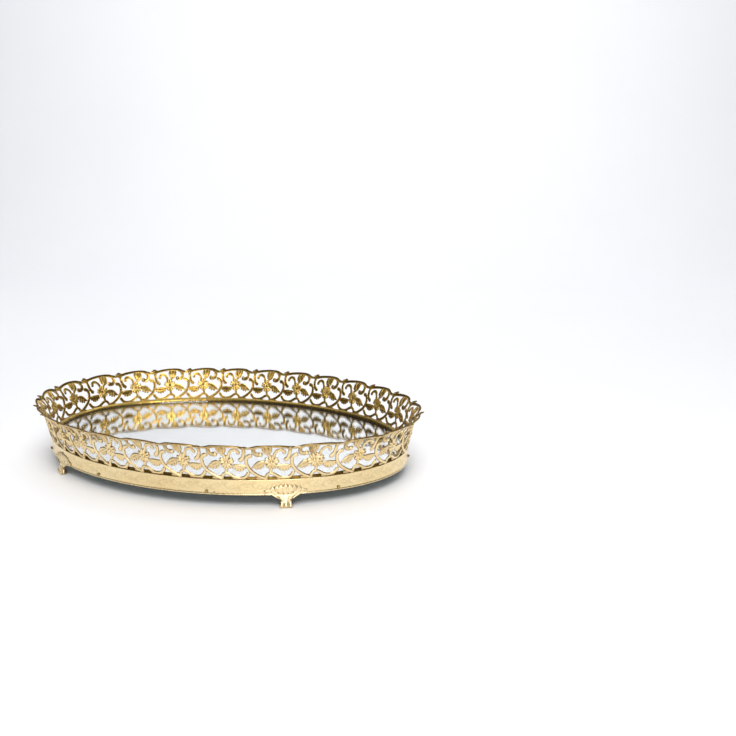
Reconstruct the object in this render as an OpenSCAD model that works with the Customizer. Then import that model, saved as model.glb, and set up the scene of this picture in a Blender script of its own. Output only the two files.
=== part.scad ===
// Oval dresser vanity tray: a mirror framed by a gilt band on four cast feet, with an openwork gallery.
// Millimetres. X is the long axis, Z is up, and the soles stand on z = 0.
// Every upright surface follows the same oval, moved in or out from the band's outer face.

/* [Oval] */
// Half length of the band's outer face
half_l = 140.5; // [120:0.5:160]
// Half width of the band's outer face
half_w = 98.5; // [84:0.5:112]

/* [Band and base] */
// Height of the feet below the band
foot_h = 8; // [8:0.5:12]
// Height of the band's outer face
band_h = 11; // [10:0.5:16]
// Thickness of the band's sheet
band_t = 1; // [0.8:0.1:1.2]
// Width from the outer face to the inner edge of the lip over the mirror
lip_w = 4.4; // [3.6:0.1:5]
// How far the lip rises above the outer face
lip_rise = 1; // [0.4:0.1:1.6]
// Depth of the lip, down to the glass
lip_t = 2.5; // [1.6:0.1:3]
// Thickness of the mirror glass
glass_t = 3; // [2.5:0.1:4]
// Thickness of the silvering with its backing paint
silver_t = 0.15; // [0.1:0.05:0.2]
// Thickness of the card between the mirror and the board
card_t = 0.65; // [0.4:0.05:0.8]
// Thickness of the felt under the board
felt_t = 1; // [0.8:0.1:1.5]
// Gap between the stacked layers and the band
edge_gap = 0.2; // [0.1:0.05:0.4]

/* [Gallery] */
// Height of the gallery up to its rim
gallery_h = 24.2; // [18:0.1:28]
// Thickness of the stamped gallery metal
gallery_t = 1.2; // [1:0.1:1.6]
// How far the gallery's rim flares out past the band
flare = 9; // [6:0.5:11]
// Radius of each flower in the gallery
flower_r = 4.4; // [3.6:0.1:5]

/* [Fasteners] */
// Number of brads round the band
brad_count = 9; // [6:1:12]
// Radius of a brad's shank
brad_r = 0.5; // [0.4:0.05:0.8]
// Length of a brad's shank
brad_l = 9; // [6:0.5:14]
// Radius of a foot screw's shank
screw_r = 1; // [0.8:0.1:1.4]

/* [Hidden] */

oval_sides = 96;
eps = 0.01;

// Levels, from the table up.
band_z = foot_h;
band_top = band_z + band_h;
lip_top = band_top + lip_rise;
glass_top = lip_top - lip_t;
glass_z = glass_top - glass_t;
silver_z = glass_z - silver_t;
card_z = silver_z - card_t;
board_z = band_z + felt_t;
stack_in = band_t + edge_gap;
brad_z = band_z + 2.4;
brad_depth = brad_l - band_t;

// Gallery strips: where each starts on the oval, in degrees of the oval's parameter, and its repeats.
seam_front = 263.4;
seam_right = 310.8;
seam_rear = 68.1;
seam_left = 169.5;
front_repeats = 4;
side_repeats = 8;
left_repeats = 7;

// Feet: the oval's parameter of the rear right foot, mirrored to the other three.
foot_angle = 50.6;
plate_t = 1.6;
lug_t = 1.2;
lug_reach = 13;
screw_in = 9;
screw_l = 6.5;

gold = "#d8b66a";

// ---- the oval ----
function oval_point(off, a) = [(half_l + off) * cos(a), (half_w + off) * sin(a)];
function oval(off) = [for (i = [0:oval_sides - 1]) oval_point(off, 360 * i / oval_sides)];
function outward(a) = atan2(sin(a) / half_w, cos(a) / half_l);

// Running length along the oval, one entry per degree, so that repeats can be spaced evenly.
run = [for (a = 0, s = 0; a <= 720;
            s = s + norm(oval_point(0, a + 1) - oval_point(0, a)), a = a + 1) [s, a]];
function length_at(a) = let (i = floor(a)) run[i][0] + (a - i) * (run[i + 1][0] - run[i][0]);
function angle_at(s) = lookup(s, run);
function span(from, to, k, n) =
  let (a = length_at(from), b = length_at(to > from ? to : to + 360)) angle_at(a + (b - a) * k / n);

module oval_plate(off, z0, z1)
  translate([0, 0, z0]) linear_extrude(z1 - z0) polygon(oval(off));

module oval_ring(off_out, off_in, z0, z1)
  translate([0, 0, z0]) linear_extrude(z1 - z0)
    polygon(concat(oval(off_out), oval(off_in)),
            [[for (i = [0:oval_sides - 1]) i], [for (i = [0:oval_sides - 1]) oval_sides + i]]);

// Puts children on the band at parameter a, with X pointing outward and Y along the band.
module on_band(a, off = 0)
  translate(concat(oval_point(off, a), 0)) rotate([0, 0, outward(a)]) children();

// ---- band, mirror and base ----
module band()
  color(gold) difference() {
    union() {
      oval_plate(0, band_z, band_top);
      oval_plate(-gallery_t - 0.2, band_top - 1, lip_top);
    }
    oval_plate(-band_t, band_z - 1, glass_top);
    oval_plate(-lip_w, band_z - 1, lip_top + 1);
    brad_holes(brad_r + 0.1);
  }

module brad_holes(r)
  for (k = [0:brad_count - 1]) at_brad(k)
    translate([-brad_depth - band_t, 0, 0]) rotate([0, 90, 0])
      cylinder(h = brad_l + 2, r = r, $fn = 16);

// The brads were driven by eye: each strays a little along the band and up or down.
brad_stray = [[1.8, -0.1], [3.2, -0.3], [4.6, -0.4], [0, 1.6], [0, 0], [0, 0], [0, 0], [0, 0], [3.2, -0.8]];
function brad_angle(k) = angle_at(
  length_at(span(251.4, 251.4, k, brad_count)) + brad_stray[k % len(brad_stray)].x);
module at_brad(k)
  on_band(brad_angle(k)) translate([0, 0, brad_z + brad_stray[k % len(brad_stray)].y]) children();

module mirror_glass() color("#c9e2e0") oval_plate(-stack_in, glass_z, glass_top);

module mirror_silvering() color("#aab2b8") oval_plate(-stack_in, silver_z, glass_z);

module backing_card() color("#8d7f6a") oval_plate(-stack_in, card_z, silver_z);

module base_board()
  color("#a9825a") difference() {
    oval_plate(-stack_in, board_z, card_z);
    brad_holes(brad_r);
    screw_holes(screw_r);
  }

module base_felt()
  color("#3d5a45") difference() {
    oval_plate(-stack_in, band_z, board_z);
    screw_holes(screw_r + 0.2);
  }

// ---- gallery ----
// A flat bar of width w along a chain of points.
function along(p, i) =
  let (q = p[min(i + 1, len(p) - 1)] - p[max(i - 1, 0)]) [-q.y, q.x] / norm(q);
function bar(p, w) = concat(
  [for (i = [0:len(p) - 1]) p[i] + along(p, i) * w / 2],
  [for (i = [len(p) - 1:-1:0]) p[i] - along(p, i) * w / 2]);

// One repeat of the pattern, drawn flat: x along the band, y up, both as shares of its pitch and height.
module repeat_outline(pitch) {
  function at(p) = [for (q = p) [(q.x - 0.5) * pitch, q.y * gallery_h]];
  // rim, the curl that turns down from it, and its bridge to the joint
  polygon(bar(at([[1.06, 0.92], [0.9, 0.95], [0.72, 0.985], [0.52, 1], [0.33, 0.98], [0.22, 0.91], [0.2, 0.81]]), 1.5));
  polygon(bar(at([[0.2, 0.82], [0.25, 0.735], [0.37, 0.72]]), 2));
  polygon(bar(at([[0.26, 0.93], [0.1, 0.9], [-0.06, 0.92]]), 1.4));
  // hook under the right-hand joint
  polygon(bar(at([[0.995, 0.93], [1, 0.82], [0.98, 0.68], [0.91, 0.56]]), 1.7));
  // stem that bows from its bulb down to the band
  polygon(bar(at([[0.15, 0.7], [0.055, 0.65], [0.03, 0.535], [0.05, 0.4], [0.125, 0.257], [0.235, 0.14], [0.44, -0.02]]), 1.8));
  // flower, its bud above, its tendril and its leaf
  translate([0.09 * pitch, 0.5 * gallery_h]) circle(flower_r, $fn = 12);
  polygon(at([[0.53, 0.62], [0.44, 0.78], [0.42, 0.88], [0.46, 1], [0.53, 1], [0.58, 0.88], [0.62, 0.64]]));
  polygon(bar(at([[0.64, 0.62], [0.68, 0.75], [0.75, 0.83], [0.83, 0.83], [0.865, 0.77]]), 1.4));
  polygon(at([[0.48, 0.53], [0.34, 0.53], [0.22, 0.42], [0.15, 0.32], [0.26, 0.3], [0.4, 0.36], [0.47, 0.42]]));
  // shell leaf that reaches the next stem
  polygon(at([[0.7, 0.45], [1.06, 0.43], [1, 0.32], [0.88, 0.24], [0.76, 0.3]]));
  // scroll and short leg that stand on the band, under the flower
  polygon(bar(at([[0.56, 0.18], [0.63, 0.15], [0.74, 0.075], [0.88, 0.02], [1, 0.07], [1.1, 0.2]]), 1.8));
  polygon(bar(at([[0.58, 0.34], [0.56, 0.18], [0.5, 0.14], [0.455, -0.02]]), 1.8));
}

// Section of the gallery metal: upright above the band, then flared out towards the rim.
function section() = let (t = gallery_t, h = gallery_h) [
  [-t - 0.1, 0], [-0.1, 0], [0.16 * flare, 0.3 * h], [0.34 * flare, 0.65 * h], [0.66 * flare, 0.86 * h],
  [1.33 * flare, 1.12 * h], [1.33 * flare - t, 1.12 * h], [0.66 * flare - t, 0.88 * h],
  [0.34 * flare - t, 0.66 * h], [0.16 * flare - t, 0.31 * h]];

// Pointed leaf at each joint of two repeats, bent out over the rim.
module leaf_tip()
  translate([0.74 * flare, 0, 0.92 * gallery_h]) rotate([0, 68, 0]) rotate([0, -90, 0])
    translate([0, 0, -0.6]) linear_extrude(1.2)
      polygon([[-1.2, -1.6], [-1.2, 1.6], [2, 1.9], [5.2, 0.4], [5.2, -0.4], [2, -1.9]]);

module gallery_repeat(pitch)
  union() {
    intersection() {
      rotate([90, 0, 90]) translate([0, 0, -3]) linear_extrude(1.4 * flare + 3) repeat_outline(pitch);
      translate([0, pitch, 0]) rotate([90, 0, 0]) linear_extrude(2 * pitch) polygon(section());
    }
    translate([0, pitch / 2, 0]) leaf_tip();
  }

module gallery(from, to, n)
  color(gold) union()
    for (k = [0:n - 1]) {
      p = oval_point(-0.3, span(from, to, k, n));
      q = oval_point(-0.3, span(from, to, k + 1, n));
      translate([(p.x + q.x) / 2, (p.y + q.y) / 2, band_top])
        rotate([0, 0, atan2(q.y - p.y, q.x - p.x) - 90])
          gallery_repeat(norm(q - p));
    }

module gallery_front() gallery(seam_front, seam_right, front_repeats);
module gallery_right() gallery(seam_right, seam_rear, side_repeats);
module gallery_rear() gallery(seam_rear, seam_left, side_repeats);
module gallery_left() gallery(seam_left, seam_front, left_repeats);

// ---- feet ----
// Half outline of a foot seen from outside, from the sole up: half width, height.
function foot_side() = let (f = foot_h) [
  [3.7, 0], [4.4, 0.12 * f], [4.1, 0.3 * f], [3.5, 0.46 * f], [3.9, 0.66 * f], [5.2, 0.84 * f],
  [8.4, f], [14, f + 0.1], [14, f + 3.6], [10.6, f + 4.8], [9.2, f + 5.8], [5.6, f + 6.7],
  [2.4, f + 7.1], [0.6, f + 7.9]];

module foot_outline()
  polygon(concat(foot_side(), [for (i = [len(foot_side()) - 1:-1:0])
    [-foot_side()[i].x, foot_side()[i].y]]));

// Section of the leg, outward to the right: a neck under the band and a toe that kicks out.
module leg_section()
  polygon([[-1.8, 0], [3.3, 0], [3.6, 0.16 * foot_h], [2.9, 0.36 * foot_h], [1.9, 0.62 * foot_h],
    [1.6, foot_h], [-2.6, foot_h], [-1, 0.6 * foot_h], [-1.2, 0.3 * foot_h]]);

module foot(a) {
  color(gold) difference() {
    union() {
      intersection() {
        on_band(a) rotate([90, 0, 90]) translate([0, 0, -10]) linear_extrude(20) foot_outline();
        oval_ring(plate_t, 0, band_z - eps, band_top - 1);
      }
      on_band(a) intersection() {
        rotate([90, 0, 90]) translate([0, 0, -10]) linear_extrude(20) foot_outline();
        translate([0, 9, 0]) rotate([90, 0, 0]) linear_extrude(18) leg_section();
      }
      on_band(a) translate([-lug_reach, -3.4, band_z - lug_t]) cube([lug_reach, 6.8, lug_t]);
    }
    on_band(a) translate([-screw_in, 0, 0]) cylinder(h = band_z + 1, r = screw_r + 0.2, $fn = 24);
  }
}

module foot_rear_right() foot(foot_angle);
module foot_rear_left() foot(180 - foot_angle);
module foot_front_left() foot(foot_angles[2]);
module foot_front_right() foot(360 - foot_angle);

// ---- fasteners ----
foot_angles = [foot_angle, 180 - foot_angle, 180.8 + foot_angle, 360 - foot_angle];

module screw_holes(r)
  for (a = foot_angles) on_band(a)
    translate([-screw_in, 0, 0]) cylinder(h = band_z - lug_t + screw_l, r = r, $fn = 24);

module foot_screws()
  color("#8f9296")
    for (a = foot_angles) on_band(a) translate([-screw_in, 0, band_z - lug_t]) {
      cylinder(h = screw_l, r = screw_r, $fn = 24);
      translate([0, 0, -1.2]) cylinder(h = 1.2, r1 = 1.3, r2 = 2.1, $fn = 24);
    }

module band_brads()
  color("#b8954a")
    for (k = [0:brad_count - 1]) at_brad(k) rotate([0, 90, 0]) {
      translate([0, 0, -brad_depth - band_t]) cylinder(h = brad_l, r = brad_r, $fn = 16);
      cylinder(h = 1.3, r1 = 1.15, r2 = 0.8, $fn = 16);
    }

band();
gallery_front();
gallery_right();
gallery_rear();
gallery_left();
mirror_glass();
mirror_silvering();
backing_card();
base_board();
base_felt();
foot_front_left();
foot_front_right();
foot_rear_left();
foot_rear_right();
foot_screws();
band_brads();
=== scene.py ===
"""Dresser vanity tray.

A mirror in a gilt band on four cast feet, with an openwork gallery of scrolls and flowers round it.
"""

import math

import bpy
import numpy as np
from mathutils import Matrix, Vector


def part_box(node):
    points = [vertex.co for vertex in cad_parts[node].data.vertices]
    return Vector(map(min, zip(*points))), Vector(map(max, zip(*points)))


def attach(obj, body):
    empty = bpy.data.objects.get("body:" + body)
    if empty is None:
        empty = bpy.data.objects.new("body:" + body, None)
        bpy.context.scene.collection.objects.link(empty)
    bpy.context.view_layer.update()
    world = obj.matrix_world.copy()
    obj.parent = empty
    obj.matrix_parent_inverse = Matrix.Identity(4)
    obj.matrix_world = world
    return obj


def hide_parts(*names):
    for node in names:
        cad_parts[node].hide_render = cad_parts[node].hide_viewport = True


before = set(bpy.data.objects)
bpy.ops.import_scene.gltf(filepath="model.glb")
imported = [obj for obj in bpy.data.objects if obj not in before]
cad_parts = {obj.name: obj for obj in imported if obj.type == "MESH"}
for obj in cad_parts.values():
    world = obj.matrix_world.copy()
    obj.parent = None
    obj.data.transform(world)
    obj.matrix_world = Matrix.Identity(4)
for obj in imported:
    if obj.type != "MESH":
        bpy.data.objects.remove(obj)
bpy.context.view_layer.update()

MM = 0.001

# ---------------------------------------------------------------- what the frame gives, in mm
BAND_LO, BAND_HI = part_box("band")
FELT_LO, FELT_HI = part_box("base_felt")
SILVER_LO, SILVER_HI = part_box("mirror_silvering")
HALF_L, HALF_W = BAND_HI.x / MM, BAND_HI.y / MM
BAND_Z, BAND_TOP = BAND_LO.z / MM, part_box("gallery_front")[0].z / MM
FOOT_H = BAND_Z

# Where each gallery strip starts and ends on the oval, in degrees of the oval's parameter, and its repeats.
STRIPS = {
    "gallery_front": (263.4, 310.8, 4),
    "gallery_right": (310.8, 428.1, 8),
    "gallery_rear": (68.1, 169.5, 8),
    "gallery_left": (169.5, 263.4, 7),
}
LAPPED = ("gallery_front", "gallery_right")  # strips whose last flower laps over the next strip's first
FEET = {
    "foot_rear_right": 50.6,
    "foot_rear_left": 129.4,
    "foot_front_left": 231.4,
    "foot_front_right": 309.4,
}
# The brads start at this angle, evenly spaced but for how each strays along the band and up it, in mm.
BRAD_START = 251.4
BRAD_STRAY = [(1.8, -0.1), (3.2, -0.3), (4.6, -0.4), (0, 1.6), (0, 0), (0, 0), (0, 0), (0, 0), (3.2, -0.8)]
BRAD_Z = BAND_Z + 2.4
BRAD_R = 1.05
SCREW_IN = 9.0  # from the band's outer face to a screw's middle
SCREW_R = 2.05

# ---------------------------------------------------------------- the oval, by running length
ANGLES = np.linspace(0, 2 * math.tau, 14401)
STEPS = np.hypot(np.diff(HALF_L * np.cos(ANGLES)), np.diff(HALF_W * np.sin(ANGLES)))
LENGTHS = np.concatenate([[0], np.cumsum(STEPS)])
AROUND = LENGTHS[len(ANGLES) // 2]


def length_at(degrees):
    """The running length at this value of the oval's parameter."""
    return float(np.interp(math.radians(degrees), ANGLES, LENGTHS))


def oval(s):
    """Points on the band's outer face at running lengths s, and the outward normals there, in mm."""
    angle = np.interp(np.mod(s, AROUND), LENGTHS, ANGLES)
    place = np.stack([HALF_L * np.cos(angle), HALF_W * np.sin(angle)], -1)
    normal = np.stack([np.cos(angle) / HALF_L, np.sin(angle) / HALF_W], -1)
    return place, normal / np.linalg.norm(normal, axis=-1, keepdims=True)


def on_band(s, z, out):
    """Flat (along, up, outward) to 3-D, wrapped round the band's outer face."""
    place, normal = oval(np.asarray(s, float))
    return np.column_stack([place + normal * np.asarray(out, float)[:, None], z])


def about(degrees):
    """A wrap for (across, up, outward) round one place on the band."""
    middle = length_at(degrees)
    return lambda x, z, out: on_band(middle + x, z, out)


SLOPE_REACH = 0.8  # a section's slope is taken over this far to each side, in mm


def bent(s, y, out, section):
    """Flat (along, up, relief) to 3-D, wrapped round the band on a bent section."""
    flat, outward, height = section
    r, z = np.interp(y, flat, outward), np.interp(y, flat, height)
    above, below = y + SLOPE_REACH, y - SLOPE_REACH
    dr = np.interp(above, flat, outward) - np.interp(below, flat, outward)
    dz = np.interp(above, flat, height) - np.interp(below, flat, height)
    run = np.hypot(dr, dz)
    return on_band(s, BAND_TOP + z - out * dr / run, r + out * dz / run)


# The gallery's section: height on the flat strip, then how far out and how high the middle of the metal is.
GALLERY_SECTION = np.array([
    (-2, -0.75, -2), (0, -0.75, 0), (1, -0.4, 1), (3, 0.05, 3), (6, 0.7, 6), (11, 1.9, 11.3),
    (15, 2.8, 15.6), (18, 4.05, 19.1), (20, 5.8, 21.4), (21.2, 7.0, 22.65), (23.1, 8.6, 24.1),
    (26, 11.3, 25.25),
]).T

# The leaf at each joint bends outward over the rim: length along it, then how far out and how high it is.
LEAF_SECTION = np.array([
    (-3.6, 4.1, 20.0), (0, 6.9, 22.5), (1.5, 8.2, 23.3), (3, 9.5, 23.9), (6, 11.7, 24.5),
]).T


def on_gallery(s, y, out):
    return bent(s, y, out, GALLERY_SECTION)


def on_leaf(s, y, out):
    return bent(s, y, out, LEAF_SECTION)


# ---------------------------------------------------------------- mesh building
class Shape:
    """Collects points and faces, with two values at each point.

    crest is 1 on a ridge, 0 at an edge and under 0 in a hollow, and far under 0 where shade is painted nearly
    black; gilt() paints shade, and some patina, from it.
    inside is 1 on backs and linings, which gilt() colours deeper as painted shade.
    wrap takes flat points (along, up, outward) to their place.
    """

    def __init__(self, wrap=None):
        self.points, self.crests, self.insides, self.faces, self.count = [], [], [], [], 0
        self.wrap = wrap

    def add(self, points, faces, crests, inside=0.0):
        points = np.asarray(points, float)
        self.points.append(self.wrap(*points.T) if self.wrap else points)
        self.crests.append(np.broadcast_to(np.asarray(crests, float), len(points)))
        self.insides.append(np.broadcast_to(np.asarray(inside, float), len(points)))
        self.faces += [tuple(corner + self.count for corner in face) for face in faces]
        self.count += len(points)

    def object(self, name, surface):
        """A Blender object of all that was added."""
        mesh = bpy.data.meshes.new(name)
        mesh.from_pydata((np.concatenate(self.points) * MM).tolist(), [], self.faces)
        for key, values in (("crest", self.crests), ("inside", self.insides)):
            mesh.attributes.new(key, "FLOAT", "POINT").data.foreach_set("value", np.concatenate(values))
        mesh.shade_smooth()
        mesh.materials.append(surface)
        ob = bpy.data.objects.new(name, mesh)
        bpy.context.scene.collection.objects.link(ob)
        return ob


def tube_faces(rings, around, flip=False, loop=False):
    """Faces from ring to ring, with a flat cap at each end, or on a loop from the last ring to the first.
    flip turns them the other way out."""
    quads = []
    for i in range(rings if loop else rings - 1):
        near, far = i * around, (i + 1) % rings * around
        for j in range(around):
            step = (j + 1) % around
            quad = (near + j, near + step, far + step, far + j)
            quads.append(quad[:1] + quad[:0:-1] if flip else quad)
    if loop:
        return quads
    first, last = range(around), range((rings - 1) * around, rings * around)
    caps = [tuple(first), tuple(reversed(last))] if flip else [tuple(reversed(first)), tuple(last)]
    return quads + caps


def slab_faces(rows, columns):
    """Faces of a slab: a grid of points, the same grid again behind it, and the edge between the two."""
    count = rows * columns
    front = [
        (i * columns + j, i * columns + j + 1, (i + 1) * columns + j + 1, (i + 1) * columns + j)
        for i in range(rows - 1)
        for j in range(columns - 1)
    ]
    back = [tuple(count + corner for corner in reversed(face)) for face in front]
    grid = np.arange(count).reshape(rows, columns)
    rim = np.concatenate([grid[0], grid[1:, -1], grid[-1, -2::-1], grid[-2:0:-1, 0]]).tolist()
    edge = [(a, count + a, count + b, b) for a, b in zip(rim, rim[1:] + rim[:1])]
    return front + back + edge


def smooth(points, count):
    """Evenly spaced points on a Catmull-Rom curve through the given ones, and the curve's length."""
    p = np.asarray(points, float)
    if len(p) > 2:
        q = np.vstack([2 * p[0] - p[1], p, 2 * p[-1] - p[-2]])
        t = np.linspace(0, 1, 12, endpoint=False)[:, None]
        dense = [
            0.5 * (2 * b + (c - a) * t + (2 * a - 5 * b + 4 * c - d) * t**2 + (3 * b - a - 3 * c + d) * t**3)
            for a, b, c, d in zip(q, q[1:], q[2:], q[3:])
        ]
        p = np.vstack([*dense, p[-1:]])
    run = np.concatenate([[0], np.cumsum(np.linalg.norm(np.diff(p, axis=0), axis=1))])
    at = np.linspace(0, run[-1], count)
    return np.stack([np.interp(at, run, p[:, i]) for i in range(p.shape[1])], -1), run[-1]


CAP_TURNS = np.radians([75, 50, 25])  # rings that round off each end of a sweep
# A sweep's section, in shares of its half width: the vein's and the hollow's reach, and the hollow's depth.
VEIN_REACH, HOLLOW_REACH, HOLLOW_DEPTH = 0.28, 0.55, 1.3
LEVEL = 0.01  # points this close to a sweep's middle are on neither its front nor its back


def round_ends(line, ahead, width):
    """A sweep's line, directions and widths with its end rings, and how much of its size each ring has."""
    added, size = len(CAP_TURNS), np.sin(CAP_TURNS)
    ends = []
    for end, way in ((0, -1), (-1, 1)):
        reach = way * width[end] / 2 * np.cos(CAP_TURNS)
        ends.append(line[end] + np.outer(reach, np.append(ahead[end], 0)))
    sizes = np.concatenate([size[::-1], np.ones(len(line)), size])
    line = np.vstack([ends[0][::-1], line, ends[1]])
    ahead = np.vstack([np.repeat(ahead[:1], added, 0), ahead, np.repeat(ahead[-1:], added, 0)])
    width = np.concatenate([np.repeat(width[0], added), width, np.repeat(width[-1], added)])
    return line, ahead, width, sizes


def sweep(
    shape, points, widths, crown=0.7, back=0.45, vein=0.0, lift=0.0,
    sides=14, spacing=0.75, dull=0.0, both=False, tarnish=0.0,
):
    """A ridge along flat points (x, y[, lift]): round on its front, hollow behind, with round ends.
    widths are shared evenly along it. crown and back are the most it stands out in front and behind.
    A vein is a groove along its top; dull darkens its ridge, partly as patina and partly as painted shade,
    and a painted shade argument lowers it all over, painting it nearly black.
    both embosses its back like its front, with no hollow."""
    count = max(4, int(smooth(points, 9)[1] / spacing) + 1)
    line = smooth(points, count)[0]
    if line.shape[1] == 2:
        line = np.column_stack([line, np.full(count, lift)])
    width = np.interp(np.linspace(0, 1, count), np.linspace(0, 1, len(widths)), widths)
    ahead = np.gradient(line[:, :2], axis=0)
    ahead /= np.linalg.norm(ahead, axis=1, keepdims=True)
    line, ahead, width, size = round_ends(line, ahead, width)
    # the section, ring by ring
    turns = np.linspace(0, math.tau, sides, endpoint=False)
    across, up = np.cos(turns), np.sin(turns)
    front, rear = np.minimum(0.5 * width, crown) * size, np.minimum(0.5 * width, back) * size
    groove = 1 - vein * np.exp(-((across / VEIN_REACH) ** 2))
    hollow = 1 - (0.0 if both else HOLLOW_DEPTH) * np.exp(-((across / HOLLOW_REACH) ** 2))
    height = np.where(up > 0, up * groove, up * hollow) * np.where(up > 0, front[:, None], rear[:, None])
    reach = (width * size / 2)[:, None] * across
    x = line[:, None, 0] - ahead[:, None, 1] * reach
    y = line[:, None, 1] + ahead[:, None, 0] * reach
    placed = np.stack([x, y, line[:, None, 2] + height], -1).reshape(-1, 3)
    # kept bright along the top and down the back's two sides, with painted shade in the hollow between them,
    # and all over the back when both is set
    behind = -0.95 * up if both else 0.9 * np.clip((np.abs(across) - 0.5) / 0.26, -0.45, 1 - dull)
    crest = np.select([up > LEVEL, up < -LEVEL], [(1 - dull) * up * groove, behind], 0.0) * size[:, None]
    inside = np.tile(np.where(up < -LEVEL, 1.0, 0.0), len(line))
    # the painted shade lowers the crest all over, so gilt() paints it nearly black
    shape.add(placed, tube_faces(len(line), sides), crest.reshape(-1) - tarnish, inside)


def bead(shape, x, y, radius, lift=0.0, rise=0.8, around=10, rings=4):
    """A small dome, closed behind."""
    points, crests = [], []
    for ring in range(-1, rings + 1):
        turn = math.pi / 2 * max(ring, 0) / rings
        reach, height = radius * math.cos(turn), radius * rise * math.sin(turn)
        # paler to its top and dark below: painted highlight and shade
        crest = 0.15 + 0.85 * math.sin(turn)
        if ring < 0:
            reach, height, crest = 0.7 * radius, -0.35 * radius, -0.6
        reach = max(reach, 0.02)
        for j in range(around):
            angle = math.tau * j / around
            points.append((x + reach * math.cos(angle), y + reach * math.sin(angle), lift + height))
            crests.append(crest)
    shape.add(points, tube_faces(rings + 2, around), crests)


# ---------------------------------------------------------------- shader helpers
def material(name, build, **sockets):
    """A Principled material; build(tree, shader) adds its pattern."""
    made = bpy.data.materials.new(name)
    made.use_nodes = True
    shader = made.node_tree.nodes["Principled BSDF"]
    for key, value in sockets.items():
        shader.inputs[key.replace("_", " ")].default_value = value
    build(made.node_tree, shader)
    return made


def add(tree, kind, **values):
    """A new node, with its properties and inputs set by name."""
    node = tree.nodes.new(kind)
    for key, value in values.items():
        if hasattr(node, key):
            setattr(node, key, value)
        else:
            node.inputs[key.replace("_", " ")].default_value = value
    return node


def noise(tree, scale, detail=3.0, rough=0.55, coords=None):
    """A noise pattern in the object's own coordinates, or in the given ones."""
    node = add(tree, "ShaderNodeTexNoise", Scale=scale, Detail=detail, Roughness=rough)
    coords = coords or add(tree, "ShaderNodeTexCoord").outputs["Object"]
    tree.links.new(coords, node.inputs["Vector"])
    return node.outputs["Fac"]


def remap(tree, value, low, high, to_low=0.0, to_high=1.0):
    """A value stretched from one range to another, and held within it."""
    node = add(tree, "ShaderNodeMapRange")
    for socket, limit in zip(node.inputs[1:5], (low, high, to_low, to_high)):
        socket.default_value = limit
    tree.links.new(value, node.inputs[0])
    return node.outputs[0]


def combine(tree, operation, first, second):
    """Two values through one sum, held between 0 and 1."""
    node = add(tree, "ShaderNodeMath", operation=operation, use_clamp=True)
    tree.links.new(first, node.inputs[0])
    tree.links.new(second, node.inputs[1])
    return node.outputs[0]


def mix(tree, fac, first, second):
    """A colour between two, each given as a colour or as a socket."""
    node = add(tree, "ShaderNodeMix", data_type="RGBA")
    tree.links.new(fac, node.inputs["Factor"])
    for socket, colour in ((node.inputs[6], first), (node.inputs[7], second)):
        if isinstance(colour, tuple):
            socket.default_value = (*colour, 1)
        else:
            tree.links.new(colour, socket)
    return node.outputs[2]


def bump(tree, shader, height, strength, distance):
    """A fine relief on a material, from a pattern of heights."""
    node = add(tree, "ShaderNodeBump", Strength=strength, Distance=distance)
    tree.links.new(height, node.inputs["Height"])
    tree.links.new(node.outputs[0], shader.inputs["Normal"])


# ---------------------------------------------------------------- materials
BLACK_SHADE_CRESTS = (-0.9, -1.5)  # the crest where the painted black shade starts to show, and where it is full
FULL_BLACK_SHADE = 0.85


def gilt(name, bright, warm, dark, inside_shade, edge, behind, rough=(0.2, 0.36)):
    """Gilt brass whose tone drifts from bright to warm, and is painted deeper on the inside as shade.
    Dark patina and painted shade gather at the edges and in the hollows: edge gives the crests where the
    darkening is full and where it ends, and behind gives its strength in the hollows."""

    def build(tree, shader):
        inside = add(tree, "ShaderNodeAttribute", attribute_name="inside").outputs["Fac"]
        crest = add(tree, "ShaderNodeAttribute", attribute_name="crest").outputs["Fac"]
        tone = remap(tree, noise(tree, 38.0, 4.0), 0.35, 0.65)
        mottle = remap(tree, noise(tree, 420.0, 5.0, 0.65), 0.38, 0.66)
        specks = remap(tree, noise(tree, 1100.0, 2.0, 0.5), 0.66, 0.74, 0.0, 0.35)
        # the inside colour is painted shade on backs and linings
        base = mix(tree, inside, mix(tree, tone, bright, warm), inside_shade)
        # painted shade with some patina at the edges, specks of patina all over, and more painted shade with
        # patina in the hollows
        at_edge = remap(tree, crest, edge[0], edge[1], 1.0, 0.0)
        edge_shade_and_patina = combine(tree, "MULTIPLY", at_edge, remap(tree, mottle, 0.0, 1.0, 0.72, 1.0))
        aged_and_shaded = mix(tree, specks, mix(tree, edge_shade_and_patina, base, dark), dark)
        in_hollow = remap(tree, crest, -0.02, -0.35, 0.0, behind)
        hollow_shade_and_patina = combine(tree, "MULTIPLY", in_hollow, remap(tree, mottle, 0.0, 1.0, 0.55, 1.0))
        aged_and_shaded = mix(tree, hollow_shade_and_patina, aged_and_shaded, dark)
        # painted shade, nearly black, and rough there too
        black_shade = remap(tree, crest, *BLACK_SHADE_CRESTS, 0.0, FULL_BLACK_SHADE)
        aged_and_shaded = mix(tree, black_shade, aged_and_shaded, tuple(0.3 * c for c in dark))
        tree.links.new(aged_and_shaded, shader.inputs["Base Color"])
        dull = remap(tree, black_shade, 0.0, FULL_BLACK_SHADE, 0.0, 0.75)
        roughness = combine(tree, "MAXIMUM", remap(tree, mottle, 0.0, 1.0, *rough), dull)
        tree.links.new(roughness, shader.inputs["Roughness"])
        bump(tree, shader, noise(tree, 900.0, 4.0, 0.7), 0.25, 0.0001)

    return material(name, build, Metallic=1.0)


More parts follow.
